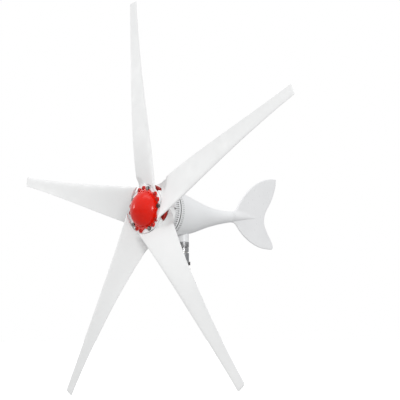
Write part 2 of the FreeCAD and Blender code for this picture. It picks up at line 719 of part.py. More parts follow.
save("nose_cone", nose_cone())
save("clamp_plate", clamp_plate())
save("hub", hub())
save("blade_bolts", group(at_bolts(plate_bolt(), PLATE_BOLTS)))
save("nose_cone_bolts", group(at_bolts(nose_bolt(), NOSE_BOLTS)))
save("hub_nuts", hub_nuts())
save("rotor_shaft", rotor_shaft())
save("shaft_key", key_block(0.0))
save("shaft_washer", ring(HUB_FRONT - 2.5, 2.5, 13.0, THREAD_R))
save("shaft_nut", hexagon(HUB_FRONT - 11.5, 9.0, 18.0).cut(disc(0, 60, THREAD_R)))
save("shaft_circlip", ring(124.1, 1.0, SHAFT_R + 2.5, SHAFT_R - 0.8))
save("magnet_wheel", magnet_wheel())
save("magnets", magnets())
for bearing_name, bearing_aft in (("front_bearing", FRONT_BEARING_AFT), ("rear_bearing", REAR_BEARING_AFT)):
    save_bearing(bearing_name, SHAFT_R, BEARING_R, BEARING_WIDTH,
                 V(0, ROTOR_Y + bearing_aft, AXIS_HEIGHT), V(0, 1, 0))

save("generator_cover", generator_cover())
save("cover_screws", cover_screws())
save("cover_gasket", ring(COVER_BACK, JOINT, DRUM_R - 3.0, 62.2).cut(
    group(around_rotor(disc(80, 20, 1.7, 0, COVER_SCREW_R), COVER_SCREWS, 30))))
save("shaft_seal", ring(COVER_FRONT, 4.0, 12.0, SHAFT_R + RUNNING))
save("stator_core", stator_core())
save("stator_coils", stator_coils())
save("bearing_plate", bearing_plate())
save("plate_screws", plate_screws())
save("nacelle_shell", nacelle_shell())
save("tail_fin", tail_fin())

for bearing_name, low in (("lower_yaw_bearing", LOWER_BEARING), ("upper_yaw_bearing", UPPER_BEARING)):
    save_bearing(bearing_name, YAW_SHAFT_R, YAW_BEARING_R, YAW_BEARING_WIDTH,
                 V(0, 0, AXIS_HEIGHT + low), V(0, 0, 1))
save("yaw_spacer", tube(LOWER_BEARING + YAW_BEARING_WIDTH, UPPER_BEARING - LOWER_BEARING - YAW_BEARING_WIDTH,
                        YAW_SHAFT_R + 1.6, YAW_SHAFT_R))
save("yaw_shaft", yaw_shaft())
save("yaw_circlip", yaw_circlip())
save("lead_grommet", lead_grommet())
save("yaw_bearing_cap", bearing_cap())
save("yaw_seal", tube(CAP_LOW + 4, 6.0, SEAL_R, YAW_COLLAR_R + RUNNING))
save("flange_washer", tube(SLEEVE_TOP, FLANGE_LOW - SLEEVE_TOP, 13.0, YAW_SHAFT_R))
nut_body = hexagon_on_yaw(NUT_ROOM_TOP - AXIS_HEIGHT - 10, 10.0, 18.0)
save("yaw_nut", nut_body.cut(post(-200, 200, YAW_SHAFT_R)))
save("pole_sleeve", pole_sleeve())
save("sleeve_screws", sleeve_screws())
save("sleeve_clamp", sleeve_clamp())
save("clamp_bolt", clamp_bolt())
save("clamp_nut", clamp_nut())
save("slip_ring_core", slip_core())
save("slip_rings", slip_rings())
save("brush_holder", brush_holder())
save("brushes", brushes())
save("terminal_block", terminal_block())
save("terminal_screws", terminal_screws())
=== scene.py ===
"""Looks of the small wind turbine: studio, camera, blade and fin meshes, and a finish for every piece."""
import bmesh
import bpy
import json
import math
import numpy as np
from mathutils import Matrix, Vector
from mathutils.geometry import delaunay_2d_cdt


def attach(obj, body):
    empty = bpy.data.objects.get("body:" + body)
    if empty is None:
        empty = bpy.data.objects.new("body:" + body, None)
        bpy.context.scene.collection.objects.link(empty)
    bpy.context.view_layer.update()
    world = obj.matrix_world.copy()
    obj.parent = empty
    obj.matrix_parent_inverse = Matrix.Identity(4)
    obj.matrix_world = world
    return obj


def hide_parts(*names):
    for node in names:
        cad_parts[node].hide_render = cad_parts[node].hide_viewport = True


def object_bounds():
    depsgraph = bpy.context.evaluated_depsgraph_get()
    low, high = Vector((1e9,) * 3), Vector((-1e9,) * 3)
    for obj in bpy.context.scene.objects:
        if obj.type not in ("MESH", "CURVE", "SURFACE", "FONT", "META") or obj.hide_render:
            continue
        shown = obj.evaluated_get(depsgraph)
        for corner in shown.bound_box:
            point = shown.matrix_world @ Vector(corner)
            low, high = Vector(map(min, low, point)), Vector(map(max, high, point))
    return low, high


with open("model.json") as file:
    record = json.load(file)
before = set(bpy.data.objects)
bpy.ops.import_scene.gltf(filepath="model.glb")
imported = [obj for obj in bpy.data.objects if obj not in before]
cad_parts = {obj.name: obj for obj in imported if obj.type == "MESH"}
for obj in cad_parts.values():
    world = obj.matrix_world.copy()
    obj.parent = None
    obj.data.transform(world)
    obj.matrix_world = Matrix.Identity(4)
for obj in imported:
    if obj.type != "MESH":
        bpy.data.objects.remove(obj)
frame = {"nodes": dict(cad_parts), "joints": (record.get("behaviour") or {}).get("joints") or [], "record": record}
cad_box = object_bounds()
nodes = frame["nodes"]

MM = 0.001
ROTOR = Vector(next(joint["pos_m"] for joint in frame["joints"] if joint["name"] == "spin"))
ROTOR_RADIUS = 600.0          # mm, as are all sizes of the blades and the fin below
LOWEST = cad_box[0][2]


# ---------------------------------------------------------------- camera and studio
VIEW_AZIMUTH = math.radians(47.24)
VIEW_ELEVATION = math.radians(-8.47)
VIEW_DISTANCE = 3.997 * ROTOR_RADIUS * MM      # from the rotor's middle along the line of sight
VIEW_SHIFT_RIGHT = 0.2729 * ROTOR_RADIUS * MM  # the camera stands this far right of that line
VIEW_SHIFT_UP = 0.0398 * ROTOR_RADIUS * MM
LENS = 79.25


def add_camera():
    backward = Vector((math.sin(VIEW_AZIMUTH) * math.cos(VIEW_ELEVATION),
                       -math.cos(VIEW_AZIMUTH) * math.cos(VIEW_ELEVATION), math.sin(VIEW_ELEVATION)))
    right = Vector((math.cos(VIEW_AZIMUTH), math.sin(VIEW_AZIMUTH), 0))
    up = backward.cross(right)
    data = bpy.data.cameras.new("studio_camera")
    data.lens = LENS
    data.sensor_width = 36
    data.clip_end = 60
    camera = bpy.data.objects.new("studio_camera", data)
    camera.location = ROTOR + backward * VIEW_DISTANCE + right * VIEW_SHIFT_RIGHT + up * VIEW_SHIFT_UP
    camera.rotation_euler = (-backward).to_track_quat("-Z", "Y").to_euler()
    bpy.context.scene.collection.objects.link(camera)
    bpy.context.scene.camera = camera


FLOOR_GAP = 0.06
FLOOR_SIZE = 30.0


def add_floor():
    """White floor: bright to the camera, dimmer as a reflector so that undersides keep their shade."""
    mesh = bpy.data.meshes.new("studio_floor")
    half = FLOOR_SIZE / 2
    low = LOWEST - FLOOR_GAP
    corners = [(-half, -half, low), (half, -half, low), (half, half, low), (-half, half, low)]
    mesh.from_pydata(corners, [], [(0, 1, 2, 3)])
    floor = bpy.data.objects.new("studio_floor", mesh)
    bpy.context.scene.collection.objects.link(floor)
    material = bpy.data.materials.new("studio_floor")
    material.use_nodes = True
    tree = material.node_tree
    seen = tree.nodes["Principled BSDF"]
    seen.inputs["Base Color"].default_value = (0.9, 0.9, 0.9, 1)
    seen.inputs["Roughness"].default_value = 0.9
    seen.inputs["Emission Color"].default_value = (1, 1, 1, 1)
    seen.inputs["Emission Strength"].default_value = 0.5
    bounced = tree.nodes.new("ShaderNodeBsdfDiffuse")
    bounced.inputs["Color"].default_value = (0.47, 0.47, 0.47, 1)
    path = tree.nodes.new("ShaderNodeLightPath")
    choice = tree.nodes.new("ShaderNodeMixShader")
    tree.links.new(path.outputs["Is Camera Ray"], choice.inputs[0])
    tree.links.new(bounced.outputs[0], choice.inputs[1])
    tree.links.new(seen.outputs[0], choice.inputs[2])
    tree.links.new(choice.outputs[0], tree.nodes["Material Output"].inputs["Surface"])
    mesh.materials.append(material)


def add_softbox(name, place, size, power, mirrored=True):
    """Rectangular soft light that faces the rotor's middle; mirrored tells whether gloss shows it."""
    data = bpy.data.lights.new(name, "AREA")
    data.shape = "RECTANGLE"
    data.size, data.size_y = size
    data.energy = power
    light = bpy.data.objects.new(name, data)
    light.location = place
    light.rotation_euler = (ROTOR - Vector(place)).to_track_quat("-Z", "Y").to_euler()
    light.visible_glossy = mirrored
    bpy.context.scene.collection.objects.link(light)


def add_world():
    """White backdrop; as light it is a pale dome, brighter overhead than at the horizon."""
    world = bpy.data.worlds.new("studio")
    world.use_nodes = True
    tree = world.node_tree
    tree.nodes.clear()
    output = tree.nodes.new("ShaderNodeOutputWorld")
    backdrop = tree.nodes.new("ShaderNodeBackground")
    backdrop.inputs["Strength"].default_value = 1.0
    backdrop.inputs["Color"].default_value = (1, 1, 1, 1)
    dome = tree.nodes.new("ShaderNodeBackground")
    dome.inputs["Color"].default_value = (0.98, 0.99, 1, 1)
    place = tree.nodes.new("ShaderNodeTexCoord")
    split = tree.nodes.new("ShaderNodeSeparateXYZ")
    height = tree.nodes.new("ShaderNodeMapRange")
    height.inputs["From Min"].default_value = -0.2
    height.inputs["From Max"].default_value = 1.0
    height.inputs["To Min"].default_value = 0.63
    height.inputs["To Max"].default_value = 0.91
    path = tree.nodes.new("ShaderNodeLightPath")
    choice = tree.nodes.new("ShaderNodeMixShader")
    tree.links.new(place.outputs["Generated"], split.inputs[0])
    tree.links.new(split.outputs["Z"], height.inputs["Value"])
    tree.links.new(height.outputs[0], dome.inputs["Strength"])
    tree.links.new(path.outputs["Is Camera Ray"], choice.inputs[0])
    tree.links.new(dome.outputs[0], choice.inputs[1])
    tree.links.new(backdrop.outputs[0], choice.inputs[2])
    tree.links.new(choice.outputs[0], output.inputs[0])
    bpy.context.scene.world = world


def add_studio_light():
    add_world()
    add_softbox("left_light", (-2.25, -1.6, 0.95), (0.34, 0.8), 14)
    add_softbox("top_light", (0.2, -1.2, 2.9), (2.2, 1.2), 12)
    add_softbox("right_light", (2.9, -1.25, 0.40), (0.45, 0.8), 20)
    add_softbox("front_fill", (3.3, -2.6, 0.9), (2.6, 2.6), 30, mirrored=False)
    bpy.context.scene.view_settings.view_transform = "Standard"


# ---------------------------------------------------------------- node helpers
def node(tree, kind, **settings):
    """New shader node with its sockets set by name."""
    made = tree.nodes.new(kind)
    for name, value in settings.items():
        made.inputs[name.replace("_", " ")].default_value = value
    return made


def object_place(tree, stretch):
    """Coordinates fixed to the piece, stretched to give a grain its direction."""
    source = tree.nodes.new("ShaderNodeTexCoord")
    mapping = node(tree, "ShaderNodeMapping", Scale=stretch)
    tree.links.new(source.outputs["Object"], mapping.inputs["Vector"])
    return mapping.outputs["Vector"]


def noise(tree, place, scale, detail=3.0, roughness=0.55):
    made = node(tree, "ShaderNodeTexNoise", Scale=scale, Detail=detail, Roughness=roughness)
    tree.links.new(place, made.inputs["Vector"])
    return made.outputs["Fac"]


def remap(tree, value, from_low, from_high, to_low, to_high):
    made = node(tree, "ShaderNodeMapRange")
    made.inputs["From Min"].default_value = from_low
    made.inputs["From Max"].default_value = from_high
    made.inputs["To Min"].default_value = to_low
    made.inputs["To Max"].default_value = to_high
    tree.links.new(value, made.inputs["Value"])
    return made.outputs[0]


def multiply(tree, first, second):
    made = tree.nodes.new("ShaderNodeMath")
    made.operation = "MULTIPLY"
    tree.links.new(first, made.inputs[0])
    tree.links.new(second, made.inputs[1])
    return made.outputs[0]


def blend_colour(tree, factor, first, second):
    """Colour from first to second; each is a colour or another node's output."""
    made = tree.nodes.new("ShaderNodeMix")
    made.data_type = "RGBA"
    tree.links.new(factor, made.inputs["Factor"])
    for socket, colour in ((6, first), (7, second)):
        if isinstance(colour, tuple):
            made.inputs[socket].default_value = (*colour, 1)
        else:
            tree.links.new(colour, made.inputs[socket])
    return made.outputs[2]


def bump(tree, height, depth, normal=None):
    made = tree.nodes.new("ShaderNodeBump")
    made.inputs["Distance"].default_value = depth
    tree.links.new(height, made.inputs["Height"])
    if normal:
        tree.links.new(normal, made.inputs["Normal"])
    return made.outputs["Normal"]


def rounded(tree, radius):
    """Normal with edges rounded to a radius."""
    made = tree.nodes.new("ShaderNodeBevel")
    made.samples = 4
    made.inputs["Radius"].default_value = radius
    return made.outputs["Normal"]


def edge_mask(tree, width):
    """1 along the piece's edges and 0 away from them."""
    geometry = tree.nodes.new("ShaderNodeNewGeometry")
    dot = tree.nodes.new("ShaderNodeVectorMath")
    dot.operation = "DOT_PRODUCT"
    tree.links.new(rounded(tree, width), dot.inputs[0])
    tree.links.new(geometry.outputs["Normal"], dot.inputs[1])
    return remap(tree, dot.outputs["Value"], 0.995, 0.90, 0.0, 1.0)


def recess_shade_mask(tree, reach):
    """Painted shade from ambient occlusion: 1 deep in grooves, slots and joints, 0 on open faces."""
    made = tree.nodes.new("ShaderNodeAmbientOcclusion")
    made.samples = 6
    made.inputs["Distance"].default_value = reach
    return remap(tree, made.outputs["AO"], 0.62, 0.30, 0.0, 1.0)


def scaled(colour, share):
    return tuple(min(1.0, channel * share) for channel in colour)


# ---------------------------------------------------------------- finishes
def finish(slot, colour, roughness, spread=0.08, metallic=0.0, shade=0.05, cloud=9.0, grain=1200.0,
           grain_depth=0.00002, stretch=(1, 1, 1), worn=None, worn_share=0.6, worn_width=0.0009,
           edge_radius=0.0004, coat=0.0, coat_roughness=0.06, specular=0.5, dust=0.0):
    """Principled finish with cloudy colour, uneven gloss, a fine grain and worn edges."""
    material = bpy.data.materials.new(slot)
    material.use_nodes = True
    tree = material.node_tree
    shader = tree.nodes["Principled BSDF"]
    shader.inputs["Metallic"].default_value = metallic
    shader.inputs["Coat Weight"].default_value = coat
    shader.inputs["Coat Roughness"].default_value = coat_roughness
    shader.inputs["Specular IOR Level"].default_value = specular
    place = object_place(tree, stretch)
    clouds = noise(tree, place, cloud, 4.0)
    clouds = remap(tree, clouds, 0.3, 0.7, 0.0, 1.0)
    tint = blend_colour(tree, clouds, scaled(colour, 1 - shade), scaled(colour, 1 + shade))
    fine = noise(tree, place, grain, 2.0)
    gloss = noise(tree, place, cloud * 5, 3.0)
    if dust:
        specks = noise(tree, object_place(tree, (1, 1, 1)), 240.0, 5.0, 0.7)
        specks = remap(tree, specks, 0.60, 0.78, 0.0, dust)
        tint = blend_colour(tree, specks, tint, scaled(colour, 0.72))
    if worn:
        patches = noise(tree, object_place(tree, (1, 1, 1)), 160.0, 4.0)
        patches = remap(tree, patches, 0.42, 0.62, 0.0, worn_share)
        tint = blend_colour(tree, multiply(tree, edge_mask(tree, worn_width), patches), tint, worn)
    tree.links.new(tint, shader.inputs["Base Color"])
    tree.links.new(remap(tree, gloss, 0.3, 0.7, roughness - spread, roughness + spread),
                   shader.inputs["Roughness"])
    tree.links.new(bump(tree, fine, grain_depth, rounded(tree, edge_radius)), shader.inputs["Normal"])
    return material


def inputs_of(material):
    return material.node_tree, material.node_tree.nodes["Principled BSDF"]


def rebump(material, height, depth):
    """Add a coarser relief on top of the finish's own grain."""
    tree, shader = inputs_of(material)
    normal = shader.inputs["Normal"].links[0].from_socket
    tree.links.new(bump(tree, height, depth, normal), shader.inputs["Normal"])


def recolour(material, factor, colour):
    """Let another colour show where factor is 1."""
    tree, shader = inputs_of(material)
    tint = shader.inputs["Base Color"].links[0].from_socket
    tree.links.new(blend_colour(tree, factor, tint, colour), shader.inputs["Base Color"])


def bands(tree, place, axis, scale, distortion=0.0):
    made = node(tree, "ShaderNodeTexWave", Scale=scale, Distortion=distortion)
    made.bands_direction = axis
    tree.links.new(place, made.inputs["Vector"])
    return made.outputs["Fac"]


def moulded_blade():
    """Fibre-filled nylon: satin, with faint flow lines along the mould and grey on rubbed edges."""
    material = finish("blade_white", (0.84, 0.84, 0.835), 0.47, shade=0.018, cloud=7.0, grain=1100.0,
                      grain_depth=0.00001, worn=(0.62, 0.61, 0.59), worn_share=0.5, worn_width=0.0014,
                      edge_radius=0.0003, dust=0.12)
    tree = material.node_tree
    flow = noise(tree, object_place(tree, (1, 0.2, 1)), 55.0, 2.0)
    rebump(material, flow, 0.00012)
    return material


def gloss_nose():
    """Glossy orange-red moulding, a little cloudy, paler where its edges are rubbed."""
    return finish("nose_red", (0.72, 0.009, 0.001), 0.30, spread=0.04, shade=0.06, cloud=22.0,
                  grain=420.0, grain_depth=0.00002, worn=(0.90, 0.14, 0.08), worn_share=0.4,
                  worn_width=0.0008, edge_radius=0.0008, coat=0.6, coat_roughness=0.19, specular=0.02)


def powder_coat(slot, colour, roughness):
    """Powder coat: orange-peel relief, a little grime in patches, painted shade darkening grooves, slots and
    joints, chips along edges.
    """
    material = finish(slot, colour, roughness, shade=0.015, cloud=11.0, grain=900.0, grain_depth=0.00004,
                      worn=(0.66, 0.66, 0.65), worn_share=0.5, edge_radius=0.0007, dust=0.10)
    tree = material.node_tree
    rebump(material, noise(tree, object_place(tree, (1, 1, 1)), 260.0, 1.0), 0.00010)
    # painted shade: ambient occlusion darkens grooves, slots and joints to a dark grey
    recolour(material, recess_shade_mask(tree, 0.005), (0.16, 0.155, 0.15))
    return material


def red_hub():
    return finish("hub_red", (0.46, 0.014, 0.008), 0.34, metallic=0.35, shade=0.10, cloud=26.0, grain=1600.0,
                  worn=(0.62, 0.40, 0.36), worn_share=0.6, edge_radius=0.0004)


def metal(slot, colour, roughness, stretch=(1, 1, 1), shade=0.10, worn=None, grain=700.0, depth=0.00004,
          spread=0.12):
    return finish(slot, colour, roughness, spread=spread, metallic=1.0, shade=shade, cloud=30.0, grain=grain,
                  grain_depth=depth, stretch=stretch, worn=worn, worn_share=0.8, edge_radius=0.0003)


def galvanised():
    """Hot-dip zinc: flat grey crystals of different brightness."""
    material = metal("galvanised_steel", (0.36, 0.365, 0.37), 0.45, worn=(0.66, 0.66, 0.66))
    tree = material.node_tree
    crystals = node(tree, "ShaderNodeTexVoronoi", Scale=260.0)
    tree.links.new(object_place(tree, (1, 1, 1)), crystals.inputs["Vector"])
    grey = tree.nodes.new("ShaderNodeSeparateColor")
    tree.links.new(crystals.outputs["Color"], grey.inputs[0])
    recolour(material, remap(tree, grey.outputs[0], 0.0, 1.0, 0.0, 0.6), (0.24, 0.25, 0.265))
    rebump(material, crystals.outputs["Distance"], 0.00006)
    return material


def enamelled_winding():
    """Copper wire laid side by side round each tooth."""
    material = metal("copper_winding", (0.70, 0.28, 0.13), 0.28, shade=0.14)
    tree, shader = inputs_of(material)
    turns = bands(tree, object_place(tree, (1, 1, 1)), "Z", 330.0, 0.4)
    rebump(material, turns, 0.0004)
    recolour(material, remap(tree, turns, 0.0, 0.35, 0.7, 0.0), (0.16, 0.05, 0.02))
    shader.inputs["Coat Weight"].default_value = 0.6
    return material


def laminated():
    """Edges of stacked steel sheets across the rotor's axis."""
    material = metal("laminated_steel", (0.34, 0.34, 0.36), 0.45)
    tree = material.node_tree
    sheets = bands(tree, object_place(tree, (1, 1, 1)), "Y", 620.0)
    rebump(material, sheets, 0.0001)
    recolour(material, remap(tree, sheets, 0.0, 0.3, 0.8, 0.0), (0.08, 0.06, 0.05))
    return material


def plain_finishes():
    """Finishes that need nothing beyond the common recipe."""
    return {
        "dark_bolts": metal("dark_bolts", (0.11, 0.095, 0.09), 0.40, worn=(0.45, 0.42, 0.40)),
        "zinc_steel": metal("zinc_steel", (0.44, 0.435, 0.41), 0.32, worn=(0.80, 0.80, 0.80)),
        "turned_steel": metal("turned_steel", (0.38, 0.38, 0.385), 0.30, stretch=(1, 1, 9), shade=0.12),
        "spring_steel": metal("spring_steel", (0.16, 0.16, 0.17), 0.36, worn=(0.40, 0.40, 0.40)),
        "bearing_steel": metal("bearing_steel", (0.70, 0.70, 0.71), 0.14, spread=0.05, depth=0.00001),
        "magnet_nickel": metal("magnet_nickel", (0.64, 0.62, 0.57), 0.20, worn=(0.30, 0.29, 0.28)),
        "slip_brass": metal("slip_brass", (0.76, 0.55, 0.22), 0.22, stretch=(1, 1, 12), shade=0.14),
        "bare_casting": metal("bare_casting", (0.38, 0.38, 0.385), 0.46, grain=380.0, depth=0.0001,
                              worn=(0.72, 0.72, 0.72)),
        "black_rubber": finish("black_rubber", (0.014, 0.014, 0.015), 0.72, grain=700.0, shade=0.2,
                               grain_depth=0.00008, worn=(0.08, 0.08, 0.08), dust=0.3),
        "black_moulding": finish("black_moulding", (0.026, 0.026, 0.029), 0.46, grain=650.0, shade=0.15,
                                 grain_depth=0.00006, worn=(0.10, 0.10, 0.10)),
        "carbon": finish("carbon", (0.045, 0.045, 0.046), 0.55, grain=420.0, shade=0.3, grain_depth=0.00008,
                         worn=(0.14, 0.14, 0.14)),
    }


def all_finishes():
    made = plain_finishes()
    made["blade_white"] = moulded_blade()
    made["nose_red"] = gloss_nose()
    made["plate_white"] = powder_coat("plate_white", (0.86, 0.86, 0.86), 0.38)
    made["body_white"] = powder_coat("body_white", (0.86, 0.865, 0.87), 0.36)
    made["fin_white"] = powder_coat("fin_white", (0.85, 0.85, 0.855), 0.34)
    made["hub_red"] = red_hub()
    made["galvanised_steel"] = galvanised()
    made["copper_winding"] = enamelled_winding()
    made["laminated_steel"] = laminated()
    return made


def dress_cad_nodes(finishes):
    for subpart in frame["record"]["subparts"]:
        mesh = nodes[subpart["node"]].data
        mesh.materials.clear()
        mesh.materials.append(finishes[subpart["material_slot"]])


# ---------------------------------------------------------------- new pieces
SAME_POINT = 0.00002          # metres; points closer than this are one


def new_piece(name, vertices, faces, body, slot, finishes, replaced, sharp_degrees=38.0):
    """Mesh piece in metres that rides on a body and stands for a CAD node."""
    mesh = bpy.data.meshes.new(name)
    mesh.from_pydata([tuple(point) for point in vertices], [], faces)
    mesh.validate()
    shape = bmesh.new()
    shape.from_mesh(mesh)
    bmesh.ops.remove_doubles(shape, verts=shape.verts, dist=SAME_POINT)
    bmesh.ops.dissolve_degenerate(shape, edges=shape.edges, dist=SAME_POINT)
    bmesh.ops.recalc_face_normals(shape, faces=shape.faces)
    shape.to_mesh(mesh)
    shape.free()
    mesh.shade_smooth()
    mesh.set_sharp_from_angle(angle=math.radians(sharp_degrees))
    mesh.materials.append(finishes[slot])
    piece = bpy.data.objects.new(name, mesh)
    bpy.context.scene.collection.objects.link(piece)
    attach(piece, body)
    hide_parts(replaced)


def from_rotor(x, aft, high):
    """Point in metres from millimetres to the side, behind and above the rotor's middle."""
    return Vector((ROTOR.x + x * MM, ROTOR.y + aft * MM, ROTOR.z + high * MM))


# ---------------------------------------------------------------- blades
BLADE_COUNT = 5
ROTOR_PHASE = -3.8
RELIEF_R = 69.0               # the root's arc round the clamp plate
HUB_SETBACK = 4.0             # the root draws back this far where it passes the hub's rim
HUB_SETBACK_SPAN = 8.0        # and the setback fades out over this length of blade
HUB_BLEND_AFT = 30.0          # it starts here and is complete HUB_BLEND further aft
HUB_BLEND = 1.5
ROOT_PAD_AFT = 21.0           # face that the clamp plate bears on
ROOT_PAD_R = 66.0
RAMP_SLOPE = 0.386            # root surface falling from the pad to the twisted wing
TIP_REACH = 599.95            # just inside the rotor's radius
TIP_CORNER = 5.0
EDGE_ROUND = 1.2
TRAILING_ROUND = 0.84
TIP_ROUND = 1.6
TRAILING_HALF = 0.6           # half the trailing edge's thickness
CAMBER = 0.03                 # share of the chord
TAB_OUTLINE = [(25, 38), (25, 74), (-3, 74), (-25, 66), (-25, 38)]   # trailing outer corner cut off
TAB_MIDDLE = (0, 56)
TAB_THICKNESS = 10.0
TAB_CHAMFER = 1.5
FACET_LINE = [(-50, 100), (-24, 90), (-6, 71)]   # crease round the root's trailing corner
FACET_SLOPE = 0.48            # the corner is folded back behind that crease
FACET_DEPTH = 19.0
FACET_SOFTNESS = 4.0
RAMP_SOFTNESS = 1.2
ROOT_LEAST_R = 30.0           # the root's arc is never followed closer in than this
ROOT_LEAST_SHARE = 0.2        # of the section's thickness, kept at the rounded root
CHORD_COLUMNS = 40
CHORD_PACKING = 1.15          # above 1 the columns crowd towards the leading edge
TRAILING_STEPS = [0.9935, 0.9975, 1.0]
SPAN_ROWS = 70
SPAN_PACKING = 1.2            # above 1 the rows crowd towards the root
SPAN_INSET = 2.0
EDGE_STEPS = (0.0, 0.12, 0.35, 0.7, 1.2)


def span_left(radius):
    return (ROTOR_RADIUS - radius) / (0.9 * ROTOR_RADIUS)


def half_chord(radius):
    return ROTOR_RADIUS * (0.0246 + 0.0689 * span_left(radius) ** 1.467)


def pitch(radius):
    return math.radians(1.0 + 15.2 * min(span_left(radius), 1.0) ** 3.94)


def mid_aft(radius):
    return ROTOR_RADIUS * 0.0415 * span_left(radius) ** 2.238


def thickest(radius):
    return 3.2 + 7.3 * span_left(radius) ** 1.3


def rounding(distance, radius):
    """0 at an edge, rising on a quarter circle to 1 at a radius from it."""
    left = 1 - min(max(distance, 0.0) / radius, 1.0)
    return math.sqrt(1 - left * left)


def softer_min(first, second, softness):
    gap = min(abs(first - second) / softness, 1.0)
    return min(first, second) - softness * (1 - gap) ** 2 / 4


def facet_drop(x, radius):
    """How far the trailing corner of the root is folded back at a point."""
    inward = 1e9
    for (x0, r0), (x1, r1) in zip(FACET_LINE, FACET_LINE[1:]):
        length = math.hypot(x1 - x0, r1 - r0)
        inward = min(inward, ((x - x0) * (r1 - r0) - (radius - r0) * (x1 - x0)) / length)
    if inward <= 0:
        return 0.0
    return softer_min(FACET_SLOPE * inward, FACET_DEPTH, FACET_SOFTNESS)


def root_radius(step):
    """Where a chord line starts, on the arc round the clamp plate."""
    radius = RELIEF_R
    for _ in range(6):
        x = half_chord(radius) * (1 - 2 * step) * math.cos(pitch(radius))
        radius = math.sqrt(max(RELIEF_R ** 2 - x * x, ROOT_LEAST_R ** 2))
    return radius


def tip_radius(step):
    """Where a chord line ends, with the tip's two corners rounded."""
    reach = half_chord(ROTOR_RADIUS)
    over = abs(reach * (1 - 2 * step)) - (reach - TIP_CORNER)
    if over <= 0:
        return TIP_REACH
    return TIP_REACH - TIP_CORNER + math.sqrt(max(TIP_CORNER ** 2 - over * over, 0.0))


def wing_point(radius, step, side, from_tip, from_root):
    """Point of the aerofoil's back (side 1) or front (side -1), rounded in at its edges."""
    chord = 2 * half_chord(radius)
    angle = pitch(radius)
    # NACA four-digit section with a closed trailing edge
    shape = 0.2969 * math.sqrt(step) - 0.126 * step - 0.3516 * step ** 2
    shape += 0.2843 * step ** 3 - 0.1036 * step ** 4
    half = 5 * thickest(radius) * shape + TRAILING_HALF * step
    half *= rounding((1 - step) * chord, TRAILING_ROUND)
    half *= rounding(from_tip, TIP_ROUND)
    if from_root < EDGE_ROUND:
        cut_back = EDGE_ROUND * (1 - rounding(from_root, EDGE_ROUND))
        half = max(half - cut_back, ROOT_LEAST_SHARE * half)
    lift = CAMBER * chord * 4 * step * (1 - step) + side * half
    along = chord * (0.5 - step)
    x = along * math.cos(angle) + lift * math.sin(angle)
    aft = mid_aft(radius) - along * math.sin(angle) + lift * math.cos(angle)
    if side < 0 and 0 < step < 1:
        ramp = ROOT_PAD_AFT + RAMP_SLOPE * (math.hypot(x, radius) - ROOT_PAD_R)
        ramp += EDGE_ROUND * (1 - rounding(from_root, EDGE_ROUND))
        aft = softer_min(aft, ramp, RAMP_SOFTNESS)
    aft += facet_drop(x, radius)
    beside_hub = min(max((aft - HUB_BLEND_AFT) / HUB_BLEND, 0.0), 1.0)
    near_root = max(1 - from_root / HUB_SETBACK_SPAN, 0.0)
    return x, aft, radius + HUB_SETBACK * beside_hub * near_root


def chord_steps():
    """Shares of the chord from leading to trailing edge, close together at both."""
    steps = [(1 - math.cos(math.pi * index / CHORD_COLUMNS)) / 2 for index in range(CHORD_COLUMNS)]
    return [step ** CHORD_PACKING for step in steps] + TRAILING_STEPS


def blade_shape():
    """Vertices and faces of one blade that points straight up, in millimetres round the rotor."""
    steps = chord_steps()
    loop = [(step, 1) for step in steps] + [(step, -1) for step in steps[-2:0:-1]]
    vertices = []
    for row in range(SPAN_ROWS + 1 + 2 * len(EDGE_STEPS)):
        for step, side in loop:
            start = root_radius(step)
            end = tip_radius(step)
            if row < len(EDGE_STEPS):
                radius = start + EDGE_STEPS[row]
            elif row >= SPAN_ROWS + 1 + len(EDGE_STEPS):
                radius = end - EDGE_STEPS[2 * len(EDGE_STEPS) + SPAN_ROWS - row]
            else:
                share = (row - len(EDGE_STEPS) + 0.5) / (SPAN_ROWS + 1)
                radius = start + SPAN_INSET + (end - start - 2 * SPAN_INSET) * share ** SPAN_PACKING
            vertices.append(wing_point(radius, step, side, end - radius, radius - start))
    count = len(loop)
    rows = len(vertices) // count
    faces = []
    for row in range(rows - 1):
        for column in range(count):
            beside = (column + 1) % count
            faces.append((row * count + column, row * count + beside,
                          (row + 1) * count + beside, (row + 1) * count + column))
    for base in (0, (rows - 1) * count):
        last = len(steps) - 1
        for column in range(last):
            low = base + column
            high = low + 1
            low_front = base + (count - column) % count
            high_front = base + (count - column - 1)
            corners = [low, high, high_front, low_front]
            if base:
                corners.reverse()
            faces.append(tuple(dict.fromkeys(corners)))
    return vertices, faces


def tab_shape(first):
    """Chamfered clamping tab behind the plate, as vertices and faces numbered from first."""
    vertices = []
    back = ROOT_PAD_AFT + TAB_THICKNESS
    for aft, inset in ((ROOT_PAD_AFT, TAB_CHAMFER), (ROOT_PAD_AFT + TAB_CHAMFER, 0.0),
                       (back - TAB_CHAMFER, 0.0), (back, TAB_CHAMFER)):
        for x, high in TAB_OUTLINE:
            inward = Vector(TAB_MIDDLE) - Vector((x, high))
            corner = Vector((x, high)) + inward.normalized() * inset
            vertices.append((corner.x, aft, corner.y))
    count = len(TAB_OUTLINE)
    front = range(first, first + count)
    behind = range(first + 3 * count, first + 4 * count)
    faces = [tuple(front), tuple(reversed(behind))]
    for ring in range(3):
        low = first + count * ring
        for corner in range(count):
            beside = (corner + 1) % count
            faces.append((low + corner, low + count + corner, low + count + beside, low + beside))
    return vertices, faces


def add_blades(finishes):
    vertices, faces = blade_shape()
    tab_vertices, tab_faces = tab_shape(len(vertices))
    vertices = [from_rotor(*point) for point in vertices + tab_vertices]
    for number in range(BLADE_COUNT):
        degrees = ROTOR_PHASE + 360.0 * number / BLADE_COUNT
        turn = Matrix.Translation(ROTOR) @ Matrix.Rotation(math.radians(degrees), 4, "Y")
        turn = turn @ Matrix.Translation(-ROTOR)
        name = "blade_%d" % (number + 1)
        new_piece("moulded_" + name, [turn @ point for point in vertices], faces + tab_faces, "rotor",
                  "blade_white", finishes, name)


